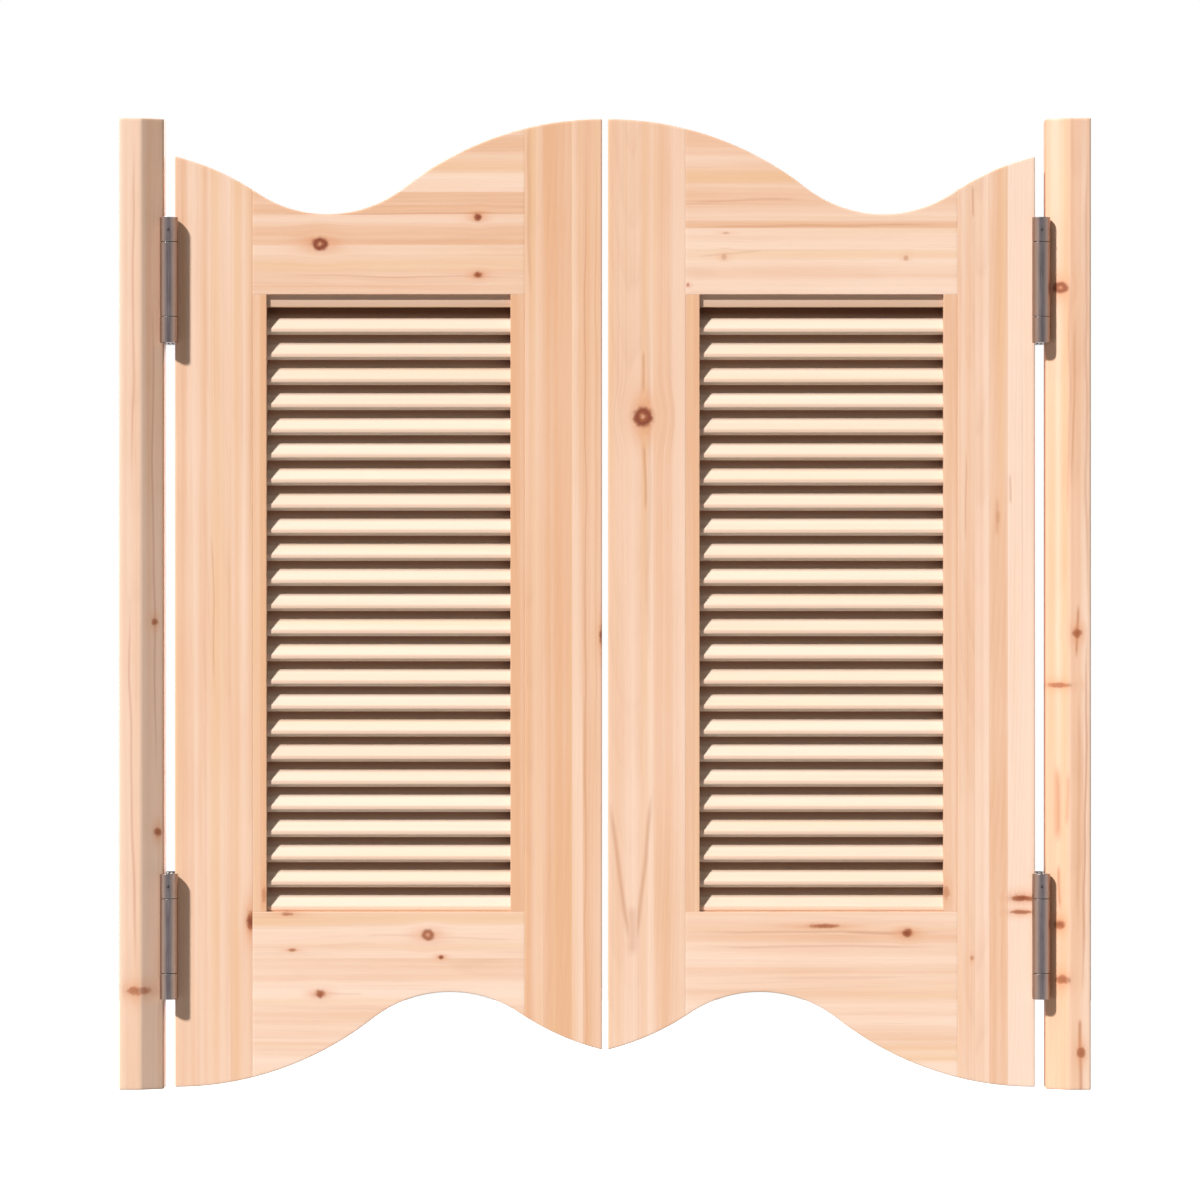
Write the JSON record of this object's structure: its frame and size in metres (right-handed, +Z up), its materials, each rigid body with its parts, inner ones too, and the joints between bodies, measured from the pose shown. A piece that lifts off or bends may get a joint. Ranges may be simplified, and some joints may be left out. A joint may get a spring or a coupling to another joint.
{
  "type": "cafe swinging doors",
  "caption": "Louvred pine cafe doors with wavy tops and bottoms, hung between chamfered posts on double-action spring hinges, so each leaf swings to either side and closes itself.",
  "frame": {"origin": "on the posts' feet, midway between the posts and midway through the leaves' thickness", "axes": "+X to the right seen from the front, +Y to the back, +Z up"},
  "size_m": [0.97, 0.0714, 0.97],
  "materials": {
    "post_pine": "planed, clear satin",
    "frame_pine": "planed, clear satin",
    "slat_pine": "planed, clear satin",
    "satin_steel": "satin",
    "turned_steel": "turned",
    "spring_steel": "oiled"
  },
  "bodies": {
    "posts": {"left_post": "post_pine", "right_post": "post_pine", "left_lower_post_flange": "satin_steel", "left_lower_post_spindle": "turned_steel", "left_lower_post_collar": "turned_steel", "left_lower_post_tension_pin": "turned_steel", "left_upper_post_flange": "satin_steel", "left_upper_post_spindle": "turned_steel", "left_upper_post_collar": "turned_steel", "left_upper_post_tension_pin": "turned_steel", "right_lower_post_flange": "satin_steel", "right_lower_post_spindle": "turned_steel", "right_lower_post_collar": "turned_steel", "right_lower_post_tension_pin": "turned_steel", "right_upper_post_flange": "satin_steel", "right_upper_post_spindle": "turned_steel", "right_upper_post_collar": "turned_steel", "right_upper_post_tension_pin": "turned_steel"},
    "left_hinge_links": {"left_lower_web": "satin_steel", "left_lower_post_spring": "spring_steel", "left_lower_leaf_spring": "spring_steel", "left_upper_web": "satin_steel", "left_upper_post_spring": "spring_steel", "left_upper_leaf_spring": "spring_steel"},
    "right_hinge_links": {"right_lower_web": "satin_steel", "right_lower_post_spring": "spring_steel", "right_lower_leaf_spring": "spring_steel", "right_upper_web": "satin_steel", "right_upper_post_spring": "spring_steel", "right_upper_leaf_spring": "spring_steel"},
    "left_leaf": {"left_hinge_stile": "frame_pine", "left_meeting_stile": "frame_pine", "left_top_rail": "frame_pine", "left_bottom_rail": "frame_pine", "left_louvre": "slat_pine", "left_lower_leaf_flange": "satin_steel", "left_lower_leaf_spindle": "turned_steel", "left_lower_leaf_collar": "turned_steel", "left_lower_leaf_tension_pin": "turned_steel", "left_upper_leaf_flange": "satin_steel", "left_upper_leaf_spindle": "turned_steel", "left_upper_leaf_collar": "turned_steel", "left_upper_leaf_tension_pin": "turned_steel"},
    "right_leaf": {"right_hinge_stile": "frame_pine", "right_meeting_stile": "frame_pine", "right_top_rail": "frame_pine", "right_bottom_rail": "frame_pine", "right_louvre": "slat_pine", "right_lower_leaf_flange": "satin_steel", "right_lower_leaf_spindle": "turned_steel", "right_lower_leaf_collar": "turned_steel", "right_lower_leaf_tension_pin": "turned_steel", "right_upper_leaf_flange": "satin_steel", "right_upper_leaf_spindle": "turned_steel", "right_upper_leaf_collar": "turned_steel", "right_upper_leaf_tension_pin": "turned_steel"}
  },
  "joints": [
    {"name": "left_front_swing", "type": "hinge", "parent": "posts", "child": "left_hinge_links", "pos_m": [-0.4355, -0.02317, 0.48], "axis": [0, 0, -1], "range_deg": [0, 90], "stiffness_Nm_per_rad": 1.3, "springref_deg": -20.05},
    {"name": "left_back_swing", "type": "hinge", "parent": "left_hinge_links", "child": "left_leaf", "pos_m": [-0.4355, 0.02317, 0.48], "axis": [0, 0, 1], "range_deg": [0, 90], "stiffness_Nm_per_rad": 1.3, "springref_deg": -20.05},
    {"name": "right_back_swing", "type": "hinge", "parent": "posts", "child": "right_hinge_links", "pos_m": [0.4355, 0.02317, 0.48], "axis": [0, 0, -1], "range_deg": [0, 90], "stiffness_Nm_per_rad": 1.3, "springref_deg": -20.05},
    {"name": "right_front_swing", "type": "hinge", "parent": "right_hinge_links", "child": "right_leaf", "pos_m": [0.4355, -0.02317, 0.48], "axis": [0, 0, 1], "range_deg": [0, 90], "stiffness_Nm_per_rad": 1.3, "springref_deg": -20.05}
  ]
}
